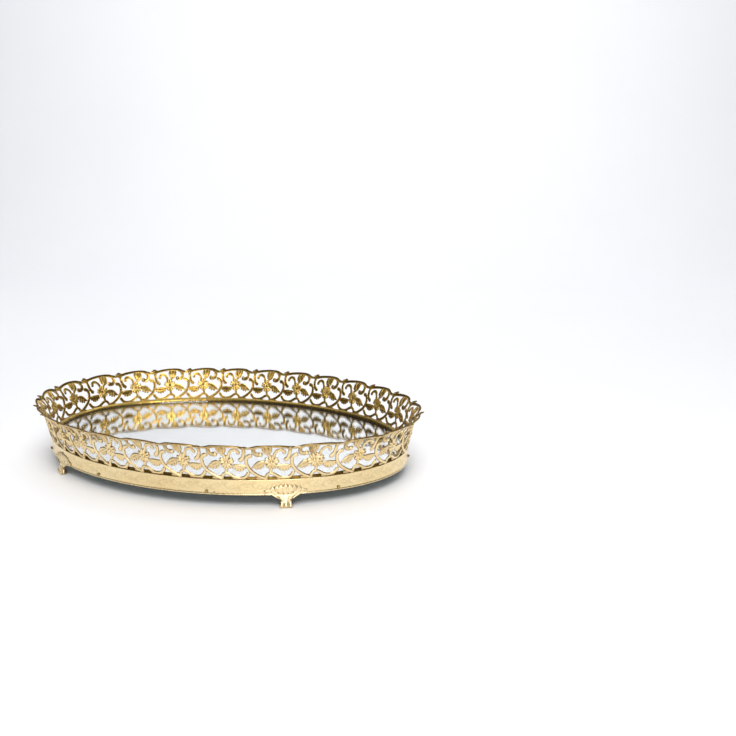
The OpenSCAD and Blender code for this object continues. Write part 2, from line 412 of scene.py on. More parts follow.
GILT_FILIGREE = gilt(
    "gilt_filigree", bright=(0.92, 0.75, 0.44), warm=(0.84, 0.64, 0.33), dark=(0.24, 0.135, 0.018),
    inside_shade=(0.85, 0.6, 0.19), edge=(0.14, 0.95), behind=0.55,
)
GILT_SHEET = gilt(
    "gilt_sheet", bright=(0.91, 0.74, 0.43), warm=(0.86, 0.67, 0.36), dark=(0.12, 0.07, 0.015),
    inside_shade=(0.72, 0.51, 0.14), edge=(0.0, 0.9), behind=0.9,
)
GILT_CAST = gilt(
    "gilt_cast", bright=(0.88, 0.72, 0.44), warm=(0.82, 0.64, 0.37), dark=(0.2, 0.12, 0.035),
    inside_shade=(0.8, 0.6, 0.28), edge=(0.05, 0.7), behind=0.5, rough=(0.27, 0.42),
)
BRAD = gilt(
    "brad_brass", bright=(0.5, 0.37, 0.17), warm=(0.38, 0.26, 0.1), dark=(0.05, 0.03, 0.01),
    inside_shade=(0.4, 0.3, 0.12), edge=(0.1, 0.95), behind=0.6,
)


def foxed(tree, shader):
    """Silver with faint brown foxing."""
    foxing = remap(tree, noise(tree, 60.0, 6.0, 0.7), 0.64, 0.74, 0.0, 0.2)
    tree.links.new(mix(tree, foxing, (0.93, 0.94, 0.93), (0.30, 0.27, 0.22)), shader.inputs["Base Color"])
    tree.links.new(remap(tree, noise(tree, 25.0), 0.3, 0.7, 0.0, 0.003), shader.inputs["Roughness"])


def polished(tree, shader):
    """Glass whose gloss is very slightly uneven."""
    tree.links.new(remap(tree, noise(tree, 14.0, 2.0), 0.35, 0.7, 0.0, 0.001), shader.inputs["Roughness"])


def scuffed(tree, shader):
    """Steel scuffed by a screwdriver."""
    scuff = noise(tree, 700.0, 4.0, 0.7)
    colour = mix(tree, remap(tree, scuff, 0.4, 0.7), (0.52, 0.5, 0.47), (0.3, 0.25, 0.2))
    tree.links.new(colour, shader.inputs["Base Color"])
    tree.links.new(remap(tree, scuff, 0.3, 0.7, 0.3, 0.55), shader.inputs["Roughness"])


def fibres(first, second, scale, depth, stretch=(1, 1, 1)):
    """A matt pattern of fibres in two colours; stretch draws them out along one axis."""

    def build(tree, shader):
        place = add(tree, "ShaderNodeMapping")
        place.inputs["Scale"].default_value = stretch
        tree.links.new(add(tree, "ShaderNodeTexCoord").outputs["Object"], place.inputs["Vector"])
        grain = noise(tree, scale, 6.0, 0.7, place.outputs["Vector"])
        tree.links.new(mix(tree, remap(tree, grain, 0.3, 0.7), first, second), shader.inputs["Base Color"])
        tree.links.new(remap(tree, grain, 0.3, 0.7, 0.7, 0.95), shader.inputs["Roughness"])
        bump(tree, shader, grain, 0.6, depth)

    return build


SILVERING = material("silvering", foxed, Metallic=1.0)
GLASS = material(
    "clear_glass", polished,
    Base_Color=(0.985, 0.987, 0.982, 1), IOR=1.5, Transmission_Weight=1.0,
)
CARD = material("grey_card", fibres((0.42, 0.36, 0.28), (0.52, 0.46, 0.37), 900, 0.0001))
BOARD = material("hardboard", fibres((0.24, 0.13, 0.06), (0.42, 0.26, 0.14), 500, 0.0002, (0.3, 1, 1)))
FELT = material(
    "felt", fibres((0.045, 0.085, 0.06), (0.08, 0.14, 0.10), 1500, 0.0004),
    Sheen_Weight=0.4, Sheen_Roughness=0.5,
)
STEEL = material("screw_steel", scuffed, Metallic=1.0)


def paint(node, surface):
    """Puts a material on a CAD node whose shape needs nothing more."""
    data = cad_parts[node].data
    data.materials.clear()
    data.materials.append(surface)


paint("mirror_glass", GLASS)
paint("backing_card", CARD)
paint("base_board", BOARD)

# ---------------------------------------------------------------- gallery
PATTERN_FOOT = 1.0  # the pattern's zero height, in mm above the band's top edge
FLOWER_AT = (0.59, 10.6)  # share of the pitch, and mm above the pattern's foot
LAP_BACK, LAP_UP = 1.6, 0.6  # a lapping flower lies this far back and up from the one under it
STROKE_SCALE, STROKE_EXTRA = 1.08, 0.35  # from a stroke's listed widths to its widths in mm


class Repeat:
    """One repeat of the pattern, seen from outside.
    Its points are shares of the pitch, and mm above the pattern's foot."""

    def __init__(self, shape, start, pitch):
        self.shape, self.start, self.pitch = shape, start, pitch

    def at(self, *points):
        """The pattern's points as flat points on the strip."""
        return [(self.start + share * self.pitch, y + PATTERN_FOOT) for share, y in points]

    def stroke(self, points, widths, **more):
        sweep(self.shape, self.at(*points), [STROKE_SCALE * width + STROKE_EXTRA for width in widths], **more)


def rim(repeat):
    """The rim's arc over the bud, the curl that turns down from it, and the parts that meet at its joints."""
    repeat.stroke(
        [(1.02, 19.5), (0.9, 20.5), (0.75, 21.4), (0.58, 22.0), (0.42, 22.0), (0.32, 21.5), (0.24, 20.1),
         (0.205, 17.9), (0.225, 16.2), (0.28, 15.3), (0.35, 15.5)],
        [1.3, 1.3, 1.3, 1.3, 1.35, 1.8, 2.0, 1.9, 2.0, 2.3], crown=0.75, lift=0.1, dull=0.35,
    )
    bead(repeat.shape, *repeat.at((0.352, 15.6))[0], 1.5, 0.25, 0.8, 14, 5)
    # the rolled edge along the top, painted nearly black as shade
    repeat.stroke(
        [(1.0, 20.2), (0.9, 21.0), (0.75, 21.9), (0.58, 22.6), (0.42, 22.6), (0.31, 22.0), (0.22, 20.9),
         (0.15, 20.2)],
        [0.6, 0.7, 0.75, 0.75, 0.75, 0.8, 0.75, 0.5], crown=0.5, lift=-0.25, dull=1.0, tarnish=1.3,
    )
    # bridge from the curl to the joint
    repeat.stroke(
        [(0.235, 20.4), (0.15, 19.9), (0.06, 19.9), (-0.03, 20.3)], [1.4, 1.3, 1.3, 1.4],
        crown=0.65, dull=0.35,
    )
    # hook down from the right-hand joint
    repeat.stroke(
        [(0.99, 20.4), (0.998, 18.6), (0.99, 16.4), (0.97, 14.3), (0.935, 12.7), (0.905, 12.0)],
        [1.5, 1.7, 1.8, 1.8, 2.0, 2.3], lift=0.1,
    )


def stems(repeat):
    """The bowed stem, the scroll that hangs to the band, and the flower's stem."""
    # from a bulb at the top to the stem's foot on the band
    repeat.stroke(
        [(0.135, 14.9), (0.075, 14.4), (0.04, 12.9), (0.03, 11.0), (0.045, 8.6), (0.085, 6.4), (0.14, 4.5),
         (0.235, 2.3), (0.34, 0.5), (0.44, -0.8)],
        [2.1, 1.8, 1.7, 1.8, 1.8, 1.8, 1.8, 1.8, 1.8, 1.8], crown=0.8, lift=0.35,
    )
    # from under the flower, down to the band and up to a bulb on the next stem
    repeat.stroke(
        [(0.55, 3.3), (0.63, 2.5), (0.7, 1.2), (0.78, 0.1), (0.88, -0.3), (0.97, 0.2), (1.03, 1.5),
         (1.065, 3.0)],
        [1.5, 1.7, 1.7, 1.6, 1.6, 1.7, 1.8, 2.0], lift=0.25,
    )
    # the scroll's short leg, and the flower's stem
    repeat.stroke([(0.555, 3.2), (0.50, 2.3), (0.467, 0.7), (0.455, -0.9)], [1.5, 1.7, 1.7, 1.8], lift=0.15)
    repeat.stroke([(0.58, 7.0), (0.57, 5.0), (0.555, 3.2)], [1.8, 1.5, 1.4])
    # sheet left standing on the band between the slots
    repeat.stroke([(0.25, -0.8), (0.36, -0.8), (0.47, -0.8)], [1.3, 1.6, 1.3], crown=0.35, dull=0.3)
    repeat.stroke([(0.3, 0.3), (0.38, 0.1), (0.45, 0.2)], [0.9, 1.8, 1.4], crown=0.3, dull=0.3)
    repeat.stroke([(0.72, -0.8), (0.86, -0.9), (0.98, -0.8)], [1.4, 1.4, 1.4], crown=0.35, dull=0.3)


def leaves(repeat):
    """A pointed leaf at the flower's lower left, and a shell leaf at its lower right."""
    repeat.stroke(
        [(0.47, 10.3), (0.39, 9.9), (0.31, 9.0), (0.235, 7.9), (0.16, 6.8)], [1.4, 3.2, 3.9, 2.8, 0.9],
        crown=0.8, vein=0.6, lift=0.2, sides=16,
    )
    for share, y in ((0.39, 7.4), (0.33, 6.4), (0.26, 6.1)):
        repeat.stroke([(share - 0.01, y + 2.0), (share, y)], [1.5, 1.2], crown=0.6, lift=0.05, sides=12)
    # the shell's sheet, its ribs spread from the top edge, and that rolled edge
    repeat.stroke(
        [(0.75, 7.4), (0.82, 7.2), (0.91, 7.2), (0.99, 7.3)], [1.5, 2.4, 2.4, 1.4],
        crown=0.2, lift=-0.1, dull=0.6,
    )
    middle, top_y = 0.865, 8.2
    ribs = [(0.745, 6.6, 1.3), (0.80, 5.6, 1.5), (middle, 5.1, 1.6), (0.93, 5.5, 1.5), (0.985, 6.6, 1.3)]
    for share, y, tip in ribs:
        top = 0.875 + 0.45 * (share - middle)
        half_way = ((share + top) / 2, (top_y + y) / 2 + 0.2)
        repeat.stroke([(top, top_y), half_way, (share, y)], [1.3, 1.7, tip], crown=0.6, lift=0.15, sides=12)
    repeat.stroke(
        [(0.69, 8.1), (0.77, 8.4), (0.88, 8.5), (0.98, 8.2), (1.06, 7.6)], [1.1, 1.2, 1.2, 1.2, 1.1],
        crown=0.7, lift=0.25,
    )


def tendril_and_bud(repeat):
    """The tendril at upper right, and a bud of three lobes between the flower and the rim, its back painted
    dark as shade.
    """
    repeat.stroke(
        [(0.65, 13.9), (0.665, 16.0), (0.715, 17.8), (0.79, 18.5), (0.85, 17.8), (0.868, 16.6)],
        [1.3, 1.4, 1.4, 1.4, 1.5, 1.9], lift=0.1,
    )
    repeat.stroke([(0.56, 14.3), (0.52, 15.6), (0.50, 16.6)], [1.3, 1.3, 1.6])
    for way, top in ((-1, 0.425), (1, 0.575)):
        repeat.stroke(
            [(0.50, 15.9), (0.5 + 0.055 * way, 17.6), (top, 19.4), (top - 0.01, 20.9)], [1.4, 2.2, 1.8, 1.2],
            crown=0.7,
        )
    repeat.stroke(
        [(0.50, 16.3), (0.50, 18.2), (0.49, 20.0), (0.485, 21.6)], [1.8, 3.1, 2.4, 1.5],
        crown=0.95, vein=0.35, lift=0.25, sides=16,
    )


def flower(shape, x, y, turn=0.31, lift=0.3):
    """Five broad petals with rolled tips round a domed eye, with small beads between them."""
    middle = np.array([x, y])
    for k in range(5):
        angle = turn + math.tau * k / 5
        ray = np.array([math.cos(angle), math.sin(angle)])
        side = np.array([-ray[1], ray[0]])
        for way in (-1, 1):
            line = [
                (*(middle + ray * out + side * way * spread), lift + proud)
                for out, spread, proud in ((1.35, 0.4, 0.1), (2.7, 0.8, 0.35), (3.7, 0.85, 0.05))
            ]
            sweep(shape, line, [1.5, 2.25, 2.0], crown=0.85, back=0.7, sides=12, both=True)
    bead(shape, x, y, 1.25, lift + 0.55, 0.85, 12)
    for k in range(5):
        angle = turn + math.tau * (k + 0.5) / 5
        bead(shape, x + 1.75 * math.cos(angle), y + 1.75 * math.sin(angle), 0.42, lift + 0.62, 0.9, 8, 2)


def leaf(shape, s):
    """A pointed, veined leaf that stands out over the rim at a joint, on a section of its own."""
    flat, shape.wrap = shape.wrap, on_leaf
    # the leaf and its side veins are painted nearly black as shade
    sweep(
        shape, [(s, -1.2), (s, 0.5), (s, 2.0), (s, 3.2), (s, 4.1)], [2.4, 2.8, 3.9, 3.4, 1.8],
        crown=0.45, back=0.8, vein=0.5, dull=0.85, tarnish=1.3,
    )
    for way in (-1, 1):
        sweep(
            shape, [(s, 0.0), (s + way * 1.3, 0.9), (s + way * 2.3, 2.0)], [1.2, 1.5, 0.9],
            crown=0.5, back=0.4, dull=0.8, tarnish=1.3,
        )
    shape.wrap = flat


def lapping_end(shape, end, pitch):
    """The cut end of a strip, whose last flower lies over the next strip's first."""
    x = end + FLOWER_AT[0] * pitch - LAP_BACK
    flower(shape, x, FLOWER_AT[1] + PATTERN_FOOT + LAP_UP, 0.8, 0.75)
    lobe = [(x - 0.5, 15.5, 0.5), (x - 1.8, 18.0, 0.5), (x - 2.4, 21.5, 0.4)]
    sweep(shape, lobe, [1.6, 3.2, 2.0], vein=0.3, dull=0.6)


def short_end(shape, end):
    """The cut end of a strip, just lapped over the next."""
    lap = [(end - 0.5, 21.1, 0.2), (end + 1.2, 21.0, 0.5), (end + 2.6, 20.8, 0.45)]
    sweep(shape, lap, [1.4, 1.5, 1.5], crown=0.5)


for node, (start, end, repeats) in STRIPS.items():
    strip = Shape(on_gallery)
    first, last = length_at(start), length_at(end)
    pitch = (last - first) / repeats
    for k in range(repeats):
        repeat = Repeat(strip, first + k * pitch, pitch)
        rim(repeat)
        stems(repeat)
        leaves(repeat)
        tendril_and_bud(repeat)
        flower(strip, *repeat.at(FLOWER_AT)[0])
        leaf(strip, first + (k + 1) * pitch)
    if node in LAPPED:
        lapping_end(strip, last, pitch)
    else:
        short_end(strip, last)
    piece = strip.object(node + "_filigree", GILT_FILIGREE)
    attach(piece, "root")
    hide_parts(node)

# ---------------------------------------------------------------- band
ENGRAVE_PITCH = AROUND / 42
ENGRAVE_H = BAND_TOP - BAND_Z
ENGRAVE_GRID = 0.15
ENGRAVE_LINE, ENGRAVE_DEPTH = 0.3, 0.06  # half an engraved line's width, and its depth
NAIL_MARK = (614.5, 1.6)  # running length and height of a small empty nail hole
NAIL_MARK_R, NAIL_MARK_DEPTH = 0.5, 0.3
LIP_SAG, LIP_WAVE = 0.42, 0.08  # how the lip's inner edge sinks from the right end to the left, and waves
BAND_COLUMNS = 1800


def engraving_lines():
    """A running vine with curls and leaves, as flat polylines over one pitch, in mm from the band's edge."""
    middle = ENGRAVE_H / 2 + 0.3
    along = np.linspace(0, 1, 60)
    yield np.stack([along * ENGRAVE_PITCH, middle + 1.9 * np.sin(math.tau * along)], -1)
    for centre, way in ((0.25, -1), (0.75, 1)):
        turn = np.linspace(0, 1.1 * math.tau, 50)
        radius = 2.1 * (1 - turn / turn[-1] * 0.75)
        x = centre * ENGRAVE_PITCH + radius * np.cos(turn * way)
        yield np.stack([x, middle - way * 1.0 + radius * 0.9 * np.sin(turn * way)], -1)
        for lean in (-0.9, -0.3, 0.3, 0.9):
            share = np.linspace(0, 1, 16)
            x = (centre + 0.25) * ENGRAVE_PITCH + 2.4 * lean * share
            yield np.stack([x, middle - way * (0.5 + 3.2 * share * (1 - 0.35 * share))], -1)


def engraving_depths():
    """How deep the engraving is over one pitch, from 0 to 1, on a fine grid."""
    columns, rows = int(ENGRAVE_PITCH / ENGRAVE_GRID) + 1, int(ENGRAVE_H / ENGRAVE_GRID) + 1
    along, up = np.linspace(0, ENGRAVE_PITCH, columns), np.linspace(0, ENGRAVE_H, rows)
    gx, gz = np.meshgrid(along, up, indexing="ij")
    near = np.full(gx.shape, 9.0)
    for line in engraving_lines():
        for shift in (-ENGRAVE_PITCH, 0, ENGRAVE_PITCH):
            for x, z in line:
                near = np.minimum(near, np.hypot(gx - x - shift, gz - z))
    return np.exp(-((near / ENGRAVE_LINE) ** 2))


def bilinear(grid, x, z):
    """The grid's values at places x along the pitch and z up the band."""
    i = np.clip(x / ENGRAVE_PITCH * (grid.shape[0] - 1), 0, grid.shape[0] - 1.001)
    j = np.clip(z / ENGRAVE_H * (grid.shape[1] - 1), 0, grid.shape[1] - 1.001)
    i0, j0 = i.astype(int), j.astype(int)
    fi, fj = i - i0, j - j0
    return (
        grid[i0, j0] * (1 - fi) * (1 - fj)
        + grid[i0 + 1, j0] * fi * (1 - fj)
        + grid[i0, j0 + 1] * (1 - fi) * fj
        + grid[i0 + 1, j0 + 1] * fi * fj
    )


# The band's closed section as (out, up, crest, sag): crest sets its painted shade, and sag is how much of the
# lip's sinking each point takes.
BAND_SECTION = np.array([
    # rolled lower edge
    (-0.2, 0.0, 0.5, 0), (-0.02, 0.2, 0.9, 0), (0.0, 0.55, 1.1, 0), (-0.08, 0.85, 0.9, 0),
    (-0.24, 1.05, 0.1, 0),
    # face
    (-0.2, 1.3, 0.75, 0), *[(-0.16, 1.6 + 0.32 * k, 0.85, 0) for k in range(25)],
    # edge under the gallery
    (-0.1, 9.85, 0.95, 0), (-0.1, 10.05, 1.0, 0), (-0.18, 10.2, 0.6, 0), (-0.4, 10.25, -0.1, 0),
    # the lip's outer side, painted dark as shade
    (-1.25, 10.28, -0.4, 0), (-1.36, 11.0, -0.4, 0), (-1.42, 11.5, -0.35, 0), (-1.55, 11.85, -0.15, 0),
    # its rounded crest and its slope down to the mirror, painted darker towards the mirror as shade
    (-1.9, 11.98, 0.12, 0), (-2.3, 11.92, 0.4, 0.1), (-2.8, 11.75, 0.42, 0.3), (-3.3, 11.5, 0.3, 0.5),
    (-3.7, 11.2, 0.2, 0.7), (-3.95, 10.9, 0.1, 0.8), (-4.12, 10.55, -0.1, 0.7), (-4.25, 10.15, -0.3, 0.5),
    (-4.33, 9.8, -0.35, 0.2), (-4.3, 9.54, -0.4, 0),
    # inside, painted dark as shade
    (-1.05, 9.54, -0.4, 0), (-1.02, 5.0, -0.4, 0), (-1.02, 0.05, -0.2, 0),
])


def build_band():
    """The band and its lip, engraved, with one empty nail hole."""
    rows = len(BAND_SECTION)
    s = np.linspace(0, AROUND, BAND_COLUMNS, endpoint=False)
    out, up, crest, sag = (np.repeat(column[None], BAND_COLUMNS, 0) for column in BAND_SECTION.T)
    face = (up[0] > 1.4) & (up[0] < 9.7) & (out[0] > -0.4)
    cut = bilinear(engraving_depths(), np.mod(np.repeat(s[:, None], rows, 1), ENGRAVE_PITCH), up)
    from_mark = (s[:, None] - NAIL_MARK[0]) ** 2 + (up - NAIL_MARK[1]) ** 2
    mark = np.exp(-(from_mark / NAIL_MARK_R**2))
    # the lip and the band's inner faces take the deeper inside colour, painted shade
    lining = np.tile(np.where(out[0] < -0.35, 1.0, 0.0), BAND_COLUMNS)
    out = np.where(face, out - ENGRAVE_DEPTH * cut - NAIL_MARK_DEPTH * mark, out)
    crest = np.where(face, crest - 0.2 * cut - 1.2 * mark, crest)
    turn = np.interp(s, LENGTHS, ANGLES)[:, None]
    up = up - sag * (LIP_SAG * (1 - np.cos(turn)) + LIP_WAVE * np.sin(5 * turn))
    shape = Shape()
    points = on_band(np.repeat(s, rows), BAND_Z + up.reshape(-1), out.reshape(-1))
    shape.add(points, tube_faces(BAND_COLUMNS, rows, flip=True, loop=True), crest.reshape(-1), lining)
    return shape.object("band_shell", GILT_SHEET)


band = build_band()
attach(band, "root")
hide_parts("band")

# ---------------------------------------------------------------- feet: mm across, up from the floor, outward
LEG_AROUND = 48
# The waisted leg as rings up its height: up, half width, back, front.
LEG_RINGS = [
    (0.0, 2.9, -1.0, 2.0), (0.25, 3.5, -1.4, 2.5), (0.8, 4.0, -1.6, 2.9), (1.6, 4.15, -1.6, 2.9),
    (2.3, 4.0, -1.4, 2.7), (2.9, 3.7, -1.2, 2.3), (3.7, 3.4, -1.0, 2.0), (4.5, 3.45, -1.0, 1.8),
    (5.3, 3.8, -1.1, 1.6), (6.1, 4.45, -1.4, 1.4), (6.8, 5.35, -1.8, 1.25), (7.4, 6.6, -2.1, 1.1),
    (7.85, 8.0, -2.2, 1.0), (8.25, 8.9, -0.25, 0.9),
]


def leg(shape):
    """The waisted leg, with two flutes down its front, and painted shade towards its sides, in the flutes and
    in a spot at each side of its waist.
    """
    turn = np.linspace(0, math.tau, LEG_AROUND, endpoint=False)
    c, s = np.cos(turn), np.sin(turn)
    points, crests = [], []
    for up, half, back, front in LEG_RINGS:
        x = half * np.sign(c) * np.abs(c) ** 0.8
        middle, reach = (back + front) / 2, (front - back) / 2
        flute = 1 - 0.13 * np.exp(-(((np.abs(x) - 0.42 * half) / 0.45) ** 2)) * (s > 0)
        out = middle + reach * np.sign(s) * np.abs(s) ** 0.75 * flute
        points.append(np.column_stack([x, np.full(LEG_AROUND, up), out]))
        # a spot of painted shade at each side of the waist; the crest also paints shade towards the sides and
        # in the flutes
        notch = np.exp(-(((np.abs(x) - 3.3) / 0.7) ** 2 + ((up - 4.7) / 0.7) ** 2))
        crests.append(np.where(s > 0, 0.3 + 0.65 * s - 4 * (1 - flute) - 0.9 * notch, -0.1))
    faces = tube_faces(len(LEG_RINGS), LEG_AROUND, flip=True)
    shape.add(np.vstack(points), faces, np.concatenate(crests))


# Half of the plate's upper edge: across, up.
PLATE_EDGE = np.array([
    [0, 15.5], [2.4, 15.0], [5.6, 14.5], [9.2, 13.4], [10.8, 12.1], [12.6, 11.6], [13.7, 11.2], [14.0, 10.4],
])
PLATE_HALF = 13.95
PLATE_BACK = -0.32
PLATE_ROWS, PLATE_COLUMNS = 25, 113
LOBE_PITCH = 3.0
FAN_FROM = 3.0  # the height that the lobes fan out from


def plate_top(x):
    """How high the plate's upper edge is, at these places across."""
    return np.interp(np.abs(x), *PLATE_EDGE.T)


def plate_pits():
    """The small dark pits as (across, up, radius): between the lobes' tips, then lower down."""
    between = [LOBE_PITCH * (k + 0.5) for k in range(-3, 3)]
    pits = [(x, plate_top(x) - 1.25, 0.42) for x in between]
    for x, up, radius in ((4.7, 9.7, 0.5), (1.5, 8.8, 0.4), (9.3, 10.2, 0.45)):
        pits += [(-x, up, radius), (x, up, radius)]
    return pits


def plate(shape):
    """The plate on the band: lobes fan from the leg over squared corners, with pits between their tips."""
    x = np.linspace(-PLATE_HALF, PLATE_HALF, PLATE_COLUMNS)
    lobes = np.abs(np.cos(math.pi * x / LOBE_PITCH))
    top = plate_top(x) - 0.45 * (1 - lobes) * (np.abs(x) < 10.6)
    low = np.where(np.abs(x) < 8.9, FOOT_H - 0.4, FOOT_H + 0.05)
    share = np.linspace(0, 1, PLATE_ROWS)[:, None]
    gx = np.repeat(x[None], PLATE_ROWS, 0)
    gz = low * (1 - share) + top * share
    # how far in from the nearest free edge
    from_low = np.where(np.abs(gx) < 8.6, 9.0, gz - low)
    inward = np.minimum(np.minimum(top - gz, PLATE_HALF - np.abs(gx)), from_low)
    full = 1 - np.exp(-np.clip(inward, 0, None) / 0.35)
    vein = np.abs(np.cos(7.2 * np.arctan2(gx, gz - FAN_FROM)))
    swell = np.clip(1.35 - np.hypot(gx, gz - 7.0) / 9.5, 0.15, 1)
    relief = -0.28 + full * (0.5 + 0.45 * swell + 0.16 * vein)
    # painted shade along the plate's free edges, between its veins and in its pits
    crest = -0.1 + full * (0.62 + 0.45 * vein)
    for px, pz, radius in plate_pits():
        dip = np.exp(-(((gx - px) ** 2 + (gz - pz) ** 2) / radius**2))
        relief, crest = relief - 0.3 * dip, crest - 1.0 * dip
    front = np.dstack([gx, gz, relief]).reshape(-1, 3)
    back = np.dstack([gx, gz, np.full(gx.shape, PLATE_BACK)]).reshape(-1, 3)
    crests = np.concatenate([crest.reshape(-1), np.full(len(back), -0.2)])
    shape.add(np.vstack([front, back]), slab_faces(PLATE_ROWS, PLATE_COLUMNS), crests)


def lobe_tips(shape):
    """A raised, veined tip on each lobe."""
    for k in range(-3, 4):
        x = LOBE_PITCH * k
        top = plate_top(x)
        fan = math.atan2(x, top - FAN_FROM)
        line = [
            (x - math.sin(fan) * down, top - math.cos(fan) * down, out)
            for down, out in ((3.4, 0.55), (1.8, 0.5), (0.7, 0.2))
        ]
        sweep(shape, line, [0.7, 1.5, 1.7], crown=0.35, back=0.3, vein=0.4, sides=12, spacing=0.5)


CORNER_CURL = [
    (8.4, 8.9), (10.6, 8.65), (12.6, 8.75), (13.35, 9.5), (13.2, 10.6), (12.3, 10.9), (11.7, 10.3),
    (12.2, 9.8),
]


def plate_sides(shape):
    """On each side: a bright bead low down, a squared scroll at the corner, and a fillet up from the leg."""
    for way in (-1, 1):
        bead(shape, way * 3.0, 10.0, 0.75, 0.65, 0.7, 12, 4)
        scroll = [(way * x, up, 0.25) for x, up in CORNER_CURL]
        sweep(shape, scroll, [0.9, 1.0, 1.05, 1.05, 1.0, 0.9, 0.9, 1.0], crown=0.4, back=0.3, spacing=0.45)
        fillet = [(way * 4.4, 6.2, 1.1), (way * 6.4, 7.5, 1.0), (way * 8.6, 8.7, 0.6)]
        sweep(shape, fillet, [0.9, 1.2, 0.9], crown=0.35, back=0.3, spacing=0.5)


def toes(shape):
    """Three rounded toes, and a fold down to them on each side."""
    for x, width in ((-2.75, 2.5), (0.0, 2.7), (2.75, 2.5)):
        toe = [(x * 0.78, 3.7, 1.5), (x * 0.95, 2.6, 2.2), (x, 1.55, 2.45)]
        sweep(shape, toe, [1.3, width, width], crown=1.0, back=1.1, sides=16, spacing=0.45)
    for way in (-1, 1):
        fold = [(way * 1.3, 5.6, 1.4), (way * 2.6, 4.6, 1.7), (way * 3.0, 3.6, 1.8)]
        sweep(shape, fold, [0.8, 1.1, 1.3], crown=0.45)


LUG_HALF, LUG_THICK = 3.4, 1.1
LUG_STRAIGHT, LUG_END = 9.6, 3.2  # the lug's straight part and its round end, inward from the band's face


def build_lug(name, wrap):
    """The lug that turns in under the board, rounded at its far end."""
    across, inward = 9, 14
    x, reach = np.linspace(-LUG_HALF, LUG_HALF, across), LUG_STRAIGHT + LUG_END
    gx, out = np.meshgrid(x, np.linspace(0, -reach, inward), indexing="ij")
    past = np.clip((-out - LUG_STRAIGHT) / LUG_END, 0, None)
    narrow = np.sqrt(np.clip(1 - past**2, 0.001, 1))
    top = np.stack([gx * narrow, np.full(gx.shape, FOOT_H - 0.05), out], -1).reshape(-1, 3)
    faces = [tuple(reversed(face)) for face in slab_faces(across, inward)]
    shape = Shape(wrap)
    shape.add(np.vstack([top, top - [0, LUG_THICK, 0]]), faces, 0.3)
    return shape.object(name, GILT_CAST)


for node, angle in FEET.items():
    foot = Shape(about(angle))
    leg(foot)
    plate(foot)
    lobe_tips(foot)
    plate_sides(foot)
    toes(foot)
    piece = foot.object(node + "_casting", GILT_CAST)
    lug = build_lug(node + "_lug", about(angle))
    lug.parent = piece
    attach(piece, "root")
    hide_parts(node)

# ---------------------------------------------------------------- brads and screws
brads = Shape(on_band)
first_brad = length_at(BRAD_START)
for k, (stray, rise) in enumerate(BRAD_STRAY):
    s = first_brad + AROUND * k / len(BRAD_STRAY) + stray
    collar = [(s - 0.05, BRAD_Z + rise, 0.1), (s + 0.05, BRAD_Z + rise, 0.1)]
    sweep(brads, collar, [1.2, 1.2], crown=0.6, back=0.4)
    bead(brads, s, BRAD_Z + rise, BRAD_R, 0.1, 1.1, 18, 6)
brad_piece = brads.object("brad_heads", BRAD)
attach(brad_piece, "root")
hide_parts("band_brads")

SCREW_Z = BAND_Z - 1.2  # the level of the heads' edges, just under the lugs
SLOT_DEPTH, SLOT_HALF = 0.55, 0.3


def screw_head(shape, degrees):
    """A domed, slotted head under a foot's lug."""
    place, normal = (found[0] for found in oval(np.array([length_at(degrees)])))
    centre = place - normal * SCREW_IN
    around, rings = 40, 9
    turns = [math.tau * j / around for j in range(around)]
    points = []
    for i in range(rings):
        radius = SCREW_R * max(i, 0.1) / (rings - 1)
        dome = 1.15 * math.sqrt(1 - (radius / 2.25) ** 2)
        for turn in turns:
            x, y = radius * math.cos(turn), radius * math.sin(turn)
            slot = SLOT_DEPTH / (1 + math.exp((abs(y) - SLOT_HALF) * 14)) if i < rings - 1 else 0.0
            points.append((centre[0] + x, centre[1] + y, SCREW_Z - max(dome - slot, 0.02)))
    for turn in turns:
        x, y = SCREW_R * math.cos(turn), SCREW_R * math.sin(turn)
        points.append((centre[0] + x, centre[1] + y, SCREW_Z + 0.05))
    shape.add(points, tube_faces(rings + 1, around), 0.8)


screws = Shape()
for angle in FEET.values():
    screw_head(screws, angle)
screw_piece = screws.object("screw_heads", STEEL)
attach(screw_piece, "root")
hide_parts("foot_screws")

# ---------------------------------------------------------------- felt
FELT_HALF_L, FELT_HALF_W = FELT_HI.x / MM - 0.1, FELT_HI.y / MM - 0.1
NAP = 0.12


def build_felt():
    """An oval of felt: its underside ring by ring with a nap, then its flat top."""
    rings, around = 40, 240
    rng = np.random.default_rng(7)
    turn = np.linspace(0, math.tau, around, endpoint=False)
    points = []
    for i in range(rings):
        share = 0.01 + 0.99 * i / (rings - 1)
        nap = NAP * rng.random(around)
        x, y = FELT_HALF_L * share * np.cos(turn), FELT_HALF_W * share * np.sin(turn)
        points.append(np.column_stack([x, y, FELT_LO.z / MM + 0.05 + nap]))
    top = np.full(around, FELT_HI.z / MM - 0.02)
    points.append(np.column_stack([FELT_HALF_L * np.cos(turn), FELT_HALF_W * np.sin(turn), top]))
    shape = Shape()
    shape.add(np.vstack(points), tube_faces(rings + 1, around), 0.5)
    return shape.object("felt_sheet", FELT)


felt_piece = build_felt()
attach(felt_piece, "root")
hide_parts("base_felt")


